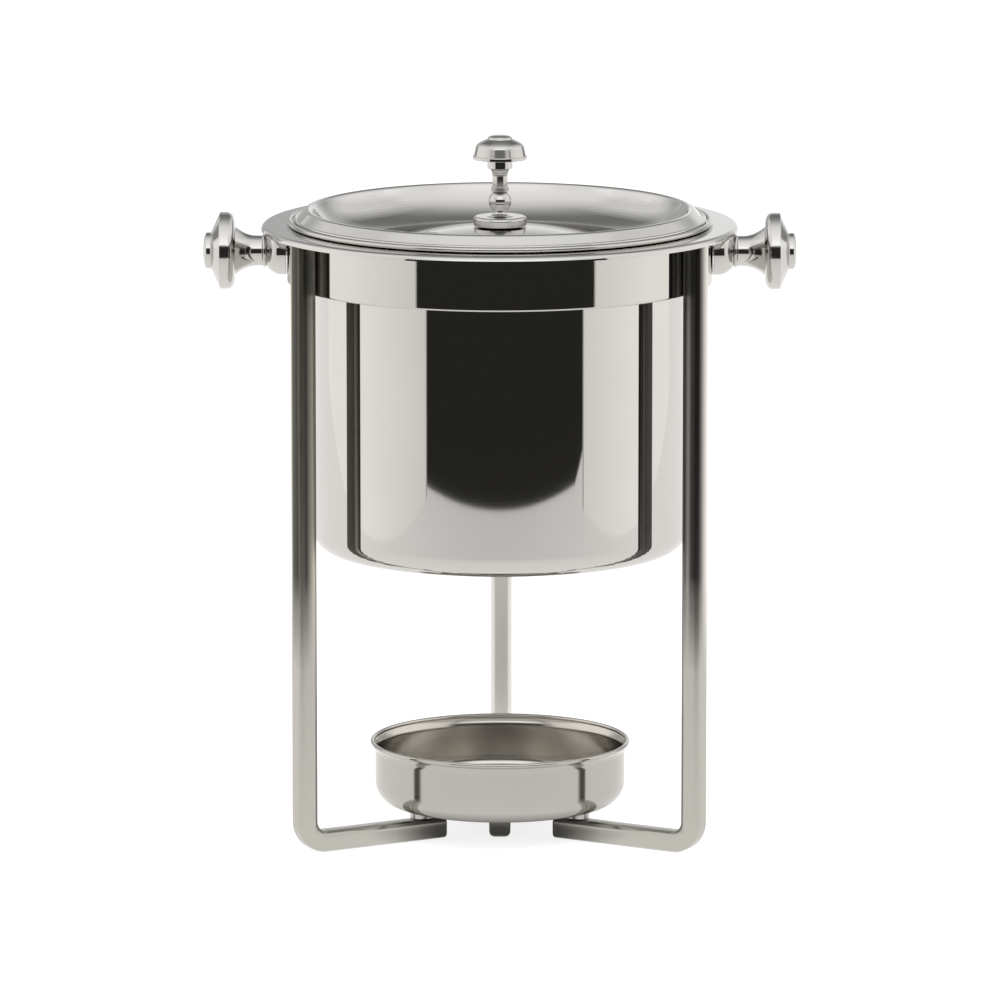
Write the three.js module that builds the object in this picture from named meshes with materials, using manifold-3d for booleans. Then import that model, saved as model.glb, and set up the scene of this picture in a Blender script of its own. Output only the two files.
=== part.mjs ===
import * as THREE from 'three';
import { mergeVertices } from 'three/addons/utils/BufferGeometryUtils.js';
import Module from 'manifold-3d';

// A round soup chafer: a deep water pan hangs by its flange in a ring on three bent legs, a food pan
// and a recessed lid drop into it, and a shallow fuel cup is screwed to the feet underneath.
// Millimetres, +Z up. The table is z = 0, the pans' axis is the Z axis, the front faces -Y.

const wasm = await Module();
wasm.setup();

// Between two pieces that touch, and round a screw in its hole.
const seatGap = 0.3;

// The water pan. Its wall sets the size round of everything above the table.
const waterSheet = 1.5;
const waterRadius = 112.2;
const waterDepth = 194;
const waterCorner = 12;
const flangeOverhang = 2.2;
const flangeDrop = 3.4;
const flangeFold = 0.4;

// The stand: a ring round the pan and three legs of square bar.
const standHeight = 366.9;
const bandClearance = 12;
const bandWall = 3;
const bandHeight = 32.5;
const bandEdge = 1;
const barWidth = 12.7;
const barEdge = 3.4;
const bendRadius = 6.5;
const frontFootPastScrew = 16.3;
const backFootPastCentre = 22;
const legBearings = {
  leg_left: THREE.MathUtils.degToRad(-150),
  leg_right: THREE.MathUtils.degToRad(-30),
  leg_back: THREE.MathUtils.degToRad(90),
};

// The fuel cup, its spacers and its screws.
const cupSheet = 1.2;
const cupRadius = 75;
const cupRimFlare = 3;
const cupDepth = 38.6;
const cupCorner = 13;
const cupFlareArc = 7;
const cupFlareLean = THREE.MathUtils.degToRad(50);
const cupBead = 1.3;
const spacerHeight = 4.4;
const spacerInset = 1.25;
const cupScrewInset = 6;
const cupScrewRadius = 2.5;
const cupScrewDepth = 7;
const cupScrewHead = 4.6;
const cupScrewHeadHeight = 2.6;

// The food pan.
const foodSheet = 1.2;
const foodClearance = 2.9;
const waterSpace = 36;
const foodCorner = 14;
const foodShoulder = 9;
const foodRimInset = 15.2;
const foodBead = 1.5;

// The recessed lid.
const lidSheet = 1.2;
const lidClearance = 1;
const lidBead = 1.1;
const lidFoot = 1;
const crownDrop = 3.1;
const valleyDrop = 13.7;
const valleyInset = 36;
const crestHeight = 7.4;
const crestStandout = 7.5;
const crestArc = 3;

// The lid's knob, from its plate up: each height is that of one turned form.
const knobPlateRadius = 15.8;
const knobPlateHeight = 5.4;
const knobPlateRound = 1.8;
const knobStepRadius = 8;
const knobStepHeight = 2.5;
const knobBallRadius = 6.8;
const knobBallHeight = 12.2;
const knobRingRadius = 5.2;
const knobRingHeight = 2.7;
const knobNeckRadius = 4.6;
const knobNeckHeight = 11;
const knobCollarRadius = 7.5;
const knobCollarHeight = 5.5;
const knobLipRadius = 16.2;
const knobLipHeight = 2;
const knobCapRadius = 15.2;
const knobCapHeight = 5.4;
const knobShoulderHeight = 4.6;
const knobBossRadius = 7.4;
const knobBossHeight = 2.5;
const lidScrewRadius = 2;
const lidScrewDepth = 3.4;
const lidScrewHead = 3.8;
const lidScrewHeadHeight = 2.4;
const lidWasherRadius = 6;
const lidWasherHeight = 1;

// The two handles, from the ring out: a rosette and then the turned forms of the knob.
const rosetteClearance = 0.3;
const rosetteRadius = 14.4;
const rosetteEdge = 3;
const rosetteNoseRadius = 10;
const rosetteHeight = 11.4;
const handleBeadRadius = 9.9;
const handleBeadHeight = 2.8;
const handleNeckRadius = 9;
const handleNeckHeight = 3;
const handleBellRadius = 14.4;
const handleBellHeight = 13;
const handleDiscRadius = 22.9;
const handleDiscBack = 4.9;
const handleDiscEdge = 4.2;
const handleFaceHeight = 5.4;
const handleBossRadius = 10.8;
const handleBossHeight = 4.6;
const handleScrewRadius = 3;
const handleScrewDepth = 26;
const handleScrewHead = 5.4;
const handleScrewHeadHeight = 3.4;
const handleWasherRadius = 6.6;
const handleWasherHeight = 1.2;

// Facets round each kind of turned piece, how far an outline's chords may stray from its arcs, the
// lines in its other curves, how close two points count as one, and how far a cutter runs past the
// face it cuts.
const panSides = 36;
const knobSides = 20;
const screwSides = 10;
const chordError = 0.2;
const curveSteps = 3;
const samePoint = 1e-3;
const cutterRun = 1;

// Sizes and levels that follow from the ones above.
const bandRadius = waterRadius + bandClearance + bandWall;
// The ring's facets are flat where the legs and handles meet it, a little inside its true radius.
const bandFlat = bandRadius * Math.cos(Math.PI / panSides);
const bandInnerFlat = (bandRadius - bandWall) * Math.cos(Math.PI / panSides);
const legInside = bandFlat + seatGap;
const legOutside = legInside + barWidth;
const flangeRadius = Math.hypot(legOutside, barWidth / 2) + flangeOverhang;
const waterFlangeLevel = standHeight + seatGap;
const foodFlangeLevel = waterFlangeLevel + waterSheet + seatGap;
const foodDepth = waterDepth + seatGap - waterSpace;
const foodRadius = waterRadius - waterSheet - foodClearance;
const waterShoulder = foodShoulder / 2;
const foodRimRadius = flangeRadius - foodRimInset;
const lidRadius = foodRimRadius - 2 * foodBead - lidClearance;
const crestRadius = foodRadius - foodSheet + crestStandout;
const valleyRadius = crestRadius - valleyInset;
const lidSeatLevel = foodFlangeLevel + foodSheet + seatGap;
const crownLevel = lidSeatLevel - crownDrop;
const spacerRadius = barWidth / 2 - spacerInset;
const cupFloorLevel = barWidth + spacerHeight + 2 * seatGap;
const cupScrewCircle = cupRadius - cupCorner - cupScrewInset;
const frontFootEnd = cupScrewCircle - frontFootPastScrew;
const handleLevel = standHeight - rosetteRadius - rosetteClearance;

const down = -Math.PI / 2;
const up = Math.PI / 2;

function polishedSteel(color, roughness) {
  return new THREE.MeshStandardMaterial({ color, roughness, metalness: 1 });
}

function piece(name, geometry, color = 0xd4d1cc, roughness = 0.1) {
  const mesh = new THREE.Mesh(geometry, polishedSteel(color, roughness));
  mesh.name = name;
  return mesh;
}

// The points of a path. An arc gets enough chords to stay within `chordError` of it, and at least two.
function outline(path) {
  const points = [];
  for (const curve of path.curves) {
    let steps = curve.isLineCurve ? 1 : curveSteps;
    if (curve.isEllipseCurve) {
      const chordAngle = 2 * Math.acos(1 - Math.min(chordError / curve.xRadius, 1));
      steps = Math.max(2, Math.ceil(Math.abs(curve.aEndAngle - curve.aStartAngle) / chordAngle));
    }
    for (const point of curve.getPoints(steps)) {
      const last = points.at(-1);
      if (!last || last.distanceTo(point) > samePoint) points.push(point);
    }
  }
  return points;
}

// Turns a profile of (radius, height) points round the Z axis. A profile that doesn't start and end
// on the axis is closed on itself. Its direction is set so that the faces point out.
function turned(points, sides) {
  const profile = points.map((point) => point.clone());
  if (profile[0].x > 0) profile.push(profile[0].clone());
  const area = THREE.ShapeUtils.area(profile);
  if (area < 0) profile.reverse();
  const geometry = new THREE.LatheGeometry(profile, sides);
  geometry.rotateX(Math.PI / 2);
  return geometry;
}

// Each point of a sheet's outer face, moved through the sheet to the left of the way it runs.
function offsetLeft(points, distance) {
  return points.map((point, i) => {
    const before = points[Math.max(i - 1, 0)];
    const after = points[Math.min(i + 1, points.length - 1)];
    const into = new THREE.Vector2().subVectors(point, before).normalize();
    const out = new THREE.Vector2().subVectors(after, point).normalize();
    if (i === 0) into.copy(out);
    if (i === points.length - 1) out.copy(into);
    const reach = distance / (1 + into.dot(out));
    const moved = new THREE.Vector2(-(into.y + out.y) * reach, (into.x + out.x) * reach).add(point);
    if (point.x === 0) moved.x = 0;
    return moved;
  });
}

// A pressed sheet: the face that `path` follows, a rolled bead at its far end, and the other face.
function sheet(path, thickness, bead = 0) {
  const face = outline(path);
  const back = offsetLeft(face, thickness);
  if (bead === 0) return [...face, ...back.reverse()];
  const end = face.at(-1);
  const run = new THREE.Vector2().subVectors(end, face.at(-2)).normalize();
  const start = Math.atan2(-run.x, run.y);
  const sweep = 3 * Math.PI / 2 + Math.asin((bead - thickness) / bead);
  const roll = new THREE.Path();
  roll.absarc(end.x - run.y * bead, end.y + run.x * bead, bead, start, start + sweep, false);
  return [...face, ...outline(roll).slice(1), ...back.slice(0, -1).reverse()];
}

function toSolid(geometry) {
  const bare = geometry.clone();
  bare.deleteAttribute('normal');
  bare.deleteAttribute('uv');
  const merged = mergeVertices(bare, samePoint);
  const corners = merged.index.array;
  const triangles = [];
  for (let i = 0; i < corners.length; i += 3) {
    const [a, b, c] = [corners[i], corners[i + 1], corners[i + 2]];
    if (a !== b && b !== c && c !== a) triangles.push(a, b, c);
  }
  const mesh = new wasm.Mesh({
    numProp: 3,
    vertProperties: new Float32Array(merged.attributes.position.array),
    triVerts: new Uint32Array(triangles),
  });
  return new wasm.Manifold(mesh);
}

// A piece with holes: each cutter is taken out of it.
function drilled(geometry, cutters) {
  let solid = toSolid(geometry);
  for (const cutter of cutters) solid = solid.subtract(toSolid(cutter));
  const mesh = solid.getMesh();
  const cut = new THREE.BufferGeometry();
  cut.setAttribute('position', new THREE.BufferAttribute(mesh.vertProperties, 3));
  cut.setIndex(new THREE.BufferAttribute(mesh.triVerts, 1));
  return cut;
}

// A round cutter or pin that stands on +Z between two levels.
function rod(radius, low, high, sides = screwSides) {
  const geometry = new THREE.CylinderGeometry(radius, radius, high - low, sides);
  geometry.rotateX(Math.PI / 2);
  geometry.translate(0, 0, (low + high) / 2);
  return geometry;
}

function ring(inner, outer, low, high, sides) {
  const corners = [[inner, low], [outer, low], [outer, high], [inner, high]];
  return turned(corners.map(([r, z]) => new THREE.Vector2(r, z)), sides);
}

// A pan-head screw whose head sits on z = 0 and whose shank runs the other way, down to -depth.
function screw(radius, depth, headRadius, headHeight) {
  const path = new THREE.Path();
  path.moveTo(0, -depth);
  path.lineTo(radius, -depth);
  path.lineTo(radius, 0);
  path.lineTo(headRadius, 0);
  path.lineTo(headRadius, headHeight / 2);
  path.quadraticCurveTo(headRadius, headHeight, 0, headHeight);
  return turned(outline(path), screwSides);
}

function buildBand() {
  const inner = bandRadius - bandWall;
  const low = standHeight - bandHeight;
  const path = new THREE.Path();
  path.moveTo(inner, low);
  path.lineTo(bandRadius - bandEdge, low);
  path.absarc(bandRadius - bandEdge, low + bandEdge, bandEdge, down, 0, false);
  path.absarc(bandRadius - bandEdge, standHeight - bandEdge, bandEdge, 0, up, false);
  path.lineTo(inner, standHeight);
  const hoop = turned(outline(path), panSides);
  hoop.rotateZ(Math.PI / panSides);
  const hole = rod(handleScrewRadius + seatGap, -2 * bandRadius, 2 * bandRadius);
  hole.rotateY(Math.PI / 2);
  hole.translate(0, 0, handleLevel);
  return piece('stand_band', drilled(hoop, [hole]));
}

// One bent bar: it stands outside the ring, turns in at the table and runs towards the axis.
function buildLeg(name, footEnd) {
  const outerBend = bendRadius + barWidth - barEdge;
  const innerBend = bendRadius + barEdge;
  const inside = legInside + barEdge;
  const outside = legOutside - barEdge;
  const top = standHeight - barEdge;
  const side = new THREE.Shape();
  side.moveTo(footEnd + barEdge, barEdge);
  side.lineTo(outside - outerBend, barEdge);
  side.absarc(outside - outerBend, barEdge + outerBend, outerBend, down, 0, false);
  side.lineTo(outside, top);
  side.lineTo(inside, top);
  side.lineTo(inside, barWidth - barEdge + innerBend);
  side.absarc(inside - innerBend, barWidth - barEdge + innerBend, innerBend, 0, down, true);
  side.lineTo(footEnd + barEdge, barWidth - barEdge);
  const bar = new THREE.ExtrudeGeometry(side, {
    depth: barWidth - 2 * barEdge,
    curveSegments: 6,
    bevelThickness: barEdge,
    bevelSize: barEdge,
    bevelSegments: 2,
  });
  bar.rotateX(Math.PI / 2);
  bar.translate(0, barWidth / 2 - barEdge, 0);
  const holeFloor = barWidth - cupScrewDepth - seatGap;
  const tapped = rod(cupScrewRadius + seatGap, holeFloor, barWidth + cutterRun);
  tapped.translate(cupScrewCircle, 0, 0);
  const leg = piece(name, drilled(bar, [tapped]), 0xb9b7ab, 0.25);
  leg.rotation.z = legBearings[name];
  return leg;
}

function buildFuelCup() {
  const rimLevel = cupDepth - cupBead * (1 + Math.sin(cupFlareLean));
  const lipRadius = cupRadius + cupRimFlare - cupBead * (1 - Math.cos(cupFlareLean));
  const lipCentre = lipRadius + cupFlareArc * Math.cos(cupFlareLean);
  const wallTop = rimLevel - cupFlareArc * Math.sin(cupFlareLean);
  const path = new THREE.Path();
  path.moveTo(0, 0);
  path.lineTo(cupRadius - cupCorner, 0);
  path.absarc(cupRadius - cupCorner, cupCorner, cupCorner, down, 0, false);
  path.absarc(lipCentre, wallTop, cupFlareArc, Math.PI, Math.PI - cupFlareLean, true);
  const bowl = turned(sheet(path, cupSheet, cupBead), panSides);
  const holes = Object.values(legBearings).map((bearing) => {
    const hole = rod(cupScrewRadius + seatGap, -cutterRun, cupSheet + cutterRun);
    hole.translate(cupScrewCircle, 0, 0);
    return hole.rotateZ(bearing);
  });
  const cup = piece('fuel_cup', drilled(bowl, holes), 0xb5b2a8, 0.2);
  cup.position.z = cupFloorLevel;
  return cup;
}

// A spacer on the foot bar under the cup, and the screw that holds the cup, the spacer and the bar.
function buildCupFixing(legName) {
  const side = legName.replace('leg_', '');
  const headLevel = cupFloorLevel + cupSheet + seatGap;
  const shank = headLevel - barWidth + cupScrewDepth;
  const bolt = screw(cupScrewRadius, shank, cupScrewHead, cupScrewHeadHeight);
  const tube = ring(cupScrewRadius + seatGap, spacerRadius, 0, spacerHeight, screwSides);
  const fixing = new THREE.Group();
  fixing.add(piece(`cup_spacer_${side}`, tube.translate(cupScrewCircle, 0, barWidth + seatGap)));
  fixing.add(piece(`cup_screw_${side}`, bolt.translate(cupScrewCircle, 0, headLevel)));
  fixing.rotation.z = legBearings[legName];
  return fixing;
}

// The deep pan, drawn along its underside: floor, wall, shoulder, flange and the folded lip.
function buildWaterPan() {
  const lipFace = flangeRadius - waterSheet;
  const path = new THREE.Path();
  path.moveTo(0, -waterDepth);
  path.lineTo(waterRadius - waterCorner, -waterDepth);
  path.absarc(waterRadius - waterCorner, waterCorner - waterDepth, waterCorner, down, 0, false);
  path.absarc(waterRadius + waterShoulder, -waterShoulder, waterShoulder, Math.PI, up, true);
  path.absarc(lipFace - flangeFold, -flangeFold, flangeFold, up, 0, true);
  path.lineTo(lipFace, waterSheet - flangeDrop);
  const pan = piece('water_pan', turned(sheet(path, waterSheet), panSides));
  pan.position.z = waterFlangeLevel;
  return pan;
}

function buildFoodPan() {
  const path = new THREE.Path();
  path.moveTo(0, -foodDepth);
  path.lineTo(foodRadius - foodCorner, -foodDepth);
  path.absarc(foodRadius - foodCorner, foodCorner - foodDepth, foodCorner, down, 0, false);
  path.absarc(foodRadius + foodShoulder, -foodShoulder, foodShoulder, Math.PI, up, true);
  path.lineTo(foodRimRadius - foodBead, 0);
  const pan = piece('food_pan', turned(sheet(path, foodSheet, foodBead), panSides), 0xcbc8c2, 0.2);
  pan.position.z = foodFlangeLevel;
  return pan;
}

// The lid, drawn along its underside from the knob's hole: a shallow dome, a round valley, the raised
// crest, and a slope down to the flat foot. The arcs touch each other, so their radii and ends follow
// from how far each one falls or rises.
function lidUnderside() {
  const domeFall = valleyDrop - crownDrop;
  const domeAndValley = (valleyRadius ** 2 + domeFall ** 2) / (2 * domeFall);
  const wallRise = valleyDrop + crestHeight;
  const valleyAndCrest = (valleyInset ** 2 + wallRise ** 2) / (2 * wallRise);
  const valleyArc = valleyAndCrest - crestArc;
  const crownArc = domeAndValley - valleyArc;
  const domeLean = Math.asin(valleyRadius / domeAndValley);
  const wallLean = Math.asin(valleyInset / valleyAndCrest);
  const domeUnder = crownArc - lidSheet;
  const valleyUnder = valleyArc + lidSheet;
  const valleyCentre = valleyArc - valleyDrop;
  const crestUnder = crestArc - lidSheet;
  const holeLean = Math.asin((lidScrewRadius + seatGap) / domeUnder);
  const foot = new THREE.Vector2(lidRadius - lidBead - lidFoot, 0);
  const crest = new THREE.Vector2(crestRadius, crestHeight - crestArc);
  const toFoot = foot.clone().sub(crest);
  const slopeStart = toFoot.angle() - 2 * Math.PI + Math.acos(crestUnder / toFoot.length());
  const path = new THREE.Path();
  path.absarc(0, -crownDrop - crownArc, domeUnder, up - holeLean, up - domeLean, true);
  path.absarc(valleyRadius, valleyCentre, valleyUnder, down - domeLean, down + wallLean, false);
  path.absarc(crest.x, crest.y, crestUnder, up + wallLean, slopeStart, true);
  path.lineTo(foot.x, foot.y);
  path.lineTo(lidRadius - lidBead, 0);
  return path;
}

function buildLid() {
  const lid = piece('lid', turned(sheet(lidUnderside(), lidSheet, lidBead), panSides), 0xd0cdc8);
  lid.position.z = lidSeatLevel;
  return lid;
}

function buildKnobPlate() {
  const bore = lidScrewRadius + seatGap;
  const path = new THREE.Path();
  path.moveTo(bore, 0);
  path.lineTo(knobPlateRadius, 0);
  path.lineTo(knobPlateRadius, knobPlateHeight - knobPlateRound);
  path.absarc(
    knobPlateRadius - knobPlateRound, knobPlateHeight - knobPlateRound, knobPlateRound, 0, up, false,
  );
  path.lineTo(bore, knobPlateHeight);
  return turned(outline(path), knobSides);
}

// The knob's outline, measured up from the plate's underside: a coved step, a ball between two narrow
// waists, a ring, a neck that flares into the collar, the lipped cap and its boss.
function buildLidKnob() {
  const bore = lidScrewRadius + seatGap;
  const base = knobPlateHeight + seatGap;
  const ballFoot = base + knobStepHeight;
  const ballTop = ballFoot + knobBallHeight;
  const ringTop = ballTop + knobRingHeight;
  const collarFoot = ringTop + knobNeckHeight;
  const lipFoot = collarFoot + knobCollarHeight;
  const capFoot = lipFoot + knobLipHeight;
  const shoulder = capFoot + knobCapHeight;
  const bossFoot = shoulder + knobShoulderHeight;
  const top = bossFoot + knobBossHeight;
  const ballLean = Math.asin(knobBallHeight / 2 / knobBallRadius);
  const waist = knobBallRadius * Math.cos(ballLean);
  const path = new THREE.Path();
  path.moveTo(0, base + lidScrewDepth);
  path.lineTo(bore, base + lidScrewDepth);
  path.lineTo(bore, base);
  path.lineTo(knobStepRadius, base);
  path.quadraticCurveTo(waist, base, waist, ballFoot);
  path.absarc(0, ballFoot + knobBallHeight / 2, knobBallRadius, -ballLean, ballLean, false);
  path.lineTo(knobRingRadius, ballTop);
  path.lineTo(knobRingRadius, ringTop);
  path.lineTo(knobNeckRadius, ringTop);
  path.quadraticCurveTo(knobNeckRadius, collarFoot, knobCollarRadius, collarFoot);
  path.lineTo(knobCollarRadius, lipFoot);
  path.lineTo(knobLipRadius, lipFoot);
  path.lineTo(knobLipRadius, capFoot);
  path.lineTo(knobCapRadius, capFoot);
  path.lineTo(knobCapRadius, shoulder);
  path.quadraticCurveTo(knobCapRadius, (shoulder + bossFoot) / 2, knobBossRadius, bossFoot);
  path.quadraticCurveTo(knobBossRadius, top, 0, top);
  return turned(outline(path), knobSides);
}

// The knob, its plate above the lid, the washer under the lid, and the screw through all of them.
function buildLidKnobStack() {
  const bore = lidScrewRadius + seatGap;
  const washerFoot = -lidSheet - 2 * seatGap - lidWasherHeight;
  const headLevel = washerFoot - seatGap;
  const shank = knobPlateHeight + lidScrewDepth - headLevel;
  const washer = ring(bore, lidWasherRadius, washerFoot, washerFoot + lidWasherHeight, screwSides);
  const bolt = screw(lidScrewRadius, shank, lidScrewHead, lidScrewHeadHeight).rotateX(Math.PI);
  const stack = new THREE.Group();
  stack.add(piece('lid_knob_plate', buildKnobPlate()));
  stack.add(piece('lid_knob', buildLidKnob()));
  stack.add(piece('lid_washer', washer));
  stack.add(piece('lid_screw', bolt.translate(0, 0, headLevel)));
  stack.position.z = crownLevel + seatGap;
  return stack;
}

// The rosette under a handle, standing on z = 0: a straight rim and a rounded cone.
function buildRosette() {
  const bore = handleScrewRadius + seatGap;
  const middle = (rosetteEdge + rosetteHeight) / 2;
  const path = new THREE.Path();
  path.moveTo(bore, 0);
  path.lineTo(rosetteRadius, 0);
  path.lineTo(rosetteRadius, rosetteEdge);
  path.quadraticCurveTo(rosetteRadius, middle, rosetteNoseRadius, rosetteHeight);
  path.lineTo(bore, rosetteHeight);
  return turned(outline(path), knobSides);
}

// The handle's outline, measured out from the ring: a bead, a neck that swells into a bell, the wide
// disc, its coned face and the rounded boss at the tip.
function buildHandleKnob() {
  const bore = handleScrewRadius + seatGap;
  const start = rosetteHeight + seatGap;
  const neckFoot = start + handleBeadHeight;
  const bellFoot = neckFoot + handleNeckHeight;
  const bellTop = bellFoot + handleBellHeight;
  const edgeFoot = bellTop + handleDiscBack;
  const faceFoot = edgeFoot + handleDiscEdge;
  const bossFoot = faceFoot + handleFaceHeight;
  const tip = bossFoot + handleBossHeight;
  const path = new THREE.Path();
  path.moveTo(0, handleScrewDepth);
  path.lineTo(bore, handleScrewDepth);
  path.lineTo(bore, start);
  path.lineTo(handleNeckRadius, start);
  path.quadraticCurveTo(
    2 * handleBeadRadius - handleNeckRadius, (start + neckFoot) / 2, handleNeckRadius, neckFoot,
  );
  path.lineTo(handleNeckRadius, bellFoot);
  path.quadraticCurveTo(handleNeckRadius, (bellFoot + bellTop) / 2, handleBellRadius, bellTop);
  path.quadraticCurveTo(handleDiscRadius, bellTop, handleDiscRadius, edgeFoot);
  path.lineTo(handleDiscRadius, faceFoot);
  path.lineTo(handleBossRadius, bossFoot);
  path.lineTo(handleBossRadius, (bossFoot + tip) / 2);
  path.quadraticCurveTo(handleBossRadius, tip, 0, tip);
  return turned(outline(path), knobSides);
}

// A handle built along +Z and then laid over to point away from the ring. Its screw comes through the
// ring from the inside.
function buildHandle(side, lean) {
  const bore = handleScrewRadius + seatGap;
  const washerTop = bandInnerFlat - seatGap - legInside;
  const headLevel = washerTop - handleWasherHeight - seatGap;
  const shank = handleScrewDepth - seatGap - headLevel;
  const washer = ring(bore, handleWasherRadius, washerTop - handleWasherHeight, washerTop, screwSides);
  const bolt = screw(handleScrewRadius, shank, handleScrewHead, handleScrewHeadHeight).rotateX(Math.PI);
  const handle = new THREE.Group();
  handle.add(piece(`handle_rosette_${side}`, buildRosette()));
  handle.add(piece(`handle_knob_${side}`, buildHandleKnob()));
  handle.add(piece(`handle_washer_${side}`, washer));
  handle.add(piece(`handle_screw_${side}`, bolt.translate(0, 0, headLevel)));
  handle.rotation.y = lean;
  handle.position.set(Math.sign(lean) * legInside, 0, handleLevel);
  return handle;
}

const chafer = new THREE.Group();
chafer.add(buildBand());
chafer.add(buildLeg('leg_left', frontFootEnd));
chafer.add(buildLeg('leg_right', frontFootEnd));
chafer.add(buildLeg('leg_back', -backFootPastCentre));
chafer.add(buildFuelCup());
for (const legName of Object.keys(legBearings)) chafer.add(buildCupFixing(legName));
chafer.add(buildHandle('right', Math.PI / 2));
chafer.add(buildHandle('left', -Math.PI / 2));
chafer.add(buildWaterPan());
chafer.add(buildFoodPan());
chafer.add(buildLid());
chafer.add(buildLidKnobStack());

export default chafer;
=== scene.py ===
import math

import bpy
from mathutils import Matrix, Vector


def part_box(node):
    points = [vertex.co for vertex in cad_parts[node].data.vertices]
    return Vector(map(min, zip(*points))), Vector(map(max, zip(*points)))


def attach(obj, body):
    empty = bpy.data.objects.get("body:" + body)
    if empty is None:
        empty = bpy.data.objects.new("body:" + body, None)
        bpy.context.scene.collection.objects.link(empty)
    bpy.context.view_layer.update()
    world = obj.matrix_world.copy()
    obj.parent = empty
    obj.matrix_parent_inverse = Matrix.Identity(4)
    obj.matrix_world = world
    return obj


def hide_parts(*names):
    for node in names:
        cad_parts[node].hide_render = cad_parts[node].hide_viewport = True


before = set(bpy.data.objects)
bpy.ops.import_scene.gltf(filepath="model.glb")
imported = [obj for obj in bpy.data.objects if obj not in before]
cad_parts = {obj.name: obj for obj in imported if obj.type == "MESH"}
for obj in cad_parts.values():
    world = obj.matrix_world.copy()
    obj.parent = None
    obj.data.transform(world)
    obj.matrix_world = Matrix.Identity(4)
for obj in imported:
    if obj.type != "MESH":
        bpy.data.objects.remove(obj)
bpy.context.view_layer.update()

# The camera. A long lens five metres in front of the dish and a metre above the table, a little to
# the right of straight ahead.
camera_distance = 5.0
camera_height = 1.0767
camera_bearing = math.radians(0.35)
camera_target = Vector((0, 0, 0.2015))
focal_pixels = 8482
photo_pixels = 1000
bpy.ops.object.camera_add(location=(
    camera_distance * math.sin(camera_bearing),
    -camera_distance * math.cos(camera_bearing),
    camera_height,
))
camera = bpy.context.object
camera.name = "camera"
camera.rotation_euler = (camera_target - camera.location).to_track_quat("-Z", "Y").to_euler()
camera.data.lens = camera.data.sensor_width * focal_pixels / photo_pixels
camera.data.clip_end = 60
bpy.context.scene.camera = camera


# The table. A wide pale sheet under the dish, with a faint mottle, so that it isn't one dead tone. It
# glows a little, so that it stays white in the soft light.
class Wire:
    """A socket of a node tree. Sums and products of wires and numbers add Math nodes to the tree."""

    def __init__(self, tree, socket=None):
        self.tree = tree
        self.socket = socket

    def node(self, kind, settings=None, inputs=None, output=0):
        """Adds a node, sets its settings and ramp stops, then its sockets, and gives one output."""
        made = self.tree.nodes.new(kind)
        for key, value in (settings or {}).items():
            if key == "stops":
                elements = made.color_ramp.elements
                while len(elements) < len(value):
                    elements.new(1)
                for element, (position, level) in zip(elements, value):
                    element.position = position
                    element.color = (level, level, level, 1)
            else:
                setattr(made, key, value)
        for key, value in (inputs or {}).items():
            if isinstance(value, Wire):
                self.tree.links.new(value.socket, made.inputs[key])
            else:
                made.inputs[key].default_value = value
        return Wire(self.tree, made.outputs[output])

    def math(self, operation, *values):
        return self.node("ShaderNodeMath", {"operation": operation}, dict(enumerate(values)))

    def clamped(self):
        return self.node("ShaderNodeMath", {"operation": "ADD", "use_clamp": True}, {0: self, 1: 0.0})

    def feeds(self, socket):
        self.tree.links.new(self.socket, socket)

    def __add__(self, other):
        return self.math("ADD", self, other)

    def __sub__(self, other):
        return self.math("SUBTRACT", self, other)

    def __rsub__(self, other):
        return self.math("SUBTRACT", other, self)

    def __mul__(self, other):
        return self.math("MULTIPLY", self, other)

    def __truediv__(self, other):
        return self.math("DIVIDE", self, other)

    def __pow__(self, other):
        return self.math("POWER", self, other)

    __radd__ = __add__
    __rmul__ = __mul__


def new_material(name):
    """A material with its main shader, and a wire to build the rest from."""
    material = bpy.data.materials.new(name)
    material.use_nodes = True
    shader = material.node_tree.nodes["Principled BSDF"]
    return material, shader, Wire(material.node_tree)


table_size = 60
table_level = -0.0001
table_tones = ((0.36, 0.36, 0.355, 1), (0.39, 0.39, 0.385, 1))
table_mottle = 3.0
table_roughness = 0.8
table_shine = 0.1
table_glow = 0.8
table_material, table_shader, wire = new_material("pale_table")
table_place = wire.node("ShaderNodeTexCoord", output="Object")
mottle = wire.node(
    "ShaderNodeTexNoise", inputs={"Vector": table_place, "Scale": table_mottle, "Detail": 2.0},
)
wire.node(
    "ShaderNodeMix", {"data_type": "RGBA"},
    {"Factor": mottle, "A": table_tones[0], "B": table_tones[1]}, output=2,
).feeds(table_shader.inputs["Base Color"])
table_shader.inputs["Roughness"].default_value = table_roughness
table_shader.inputs["Specular IOR Level"].default_value = table_shine
table_shader.inputs["Emission Color"].default_value = (1, 1, 1, 1)
table_shader.inputs["Emission Strength"].default_value = table_glow
bpy.ops.object.select_all(action="DESELECT")
bpy.ops.mesh.primitive_plane_add(size=table_size, location=(0, 0, table_level))
table = bpy.context.object
table.name = "table"
table.data.materials.append(table_material)


# The studio. Soft light from all round and above, two white side boards with a dark room between them
# where the camera stands, a grey card behind, and a lit table with a round front edge. Apart from the
# soft lamp and the sky, only the polished steel sees them.
def mirrored(surface, name, colour, strength):
    """Makes a surface glow, for reflections alone. Returns its shader and a wire."""
    surface.name = name
    material, shader, wire = new_material(name)
    shader.inputs["Base Color"].default_value = (0, 0, 0, 1)
    shader.inputs["Specular IOR Level"].default_value = 0
    shader.inputs["Emission Color"].default_value = (*colour, 1)
    shader.inputs["Emission Strength"].default_value = strength
    surface.data.materials.append(material)
    for ray in ("camera", "diffuse", "transmission", "volume_scatter", "shadow"):
        setattr(surface, "visible_" + ray, False)
    return shader, wire


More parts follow.
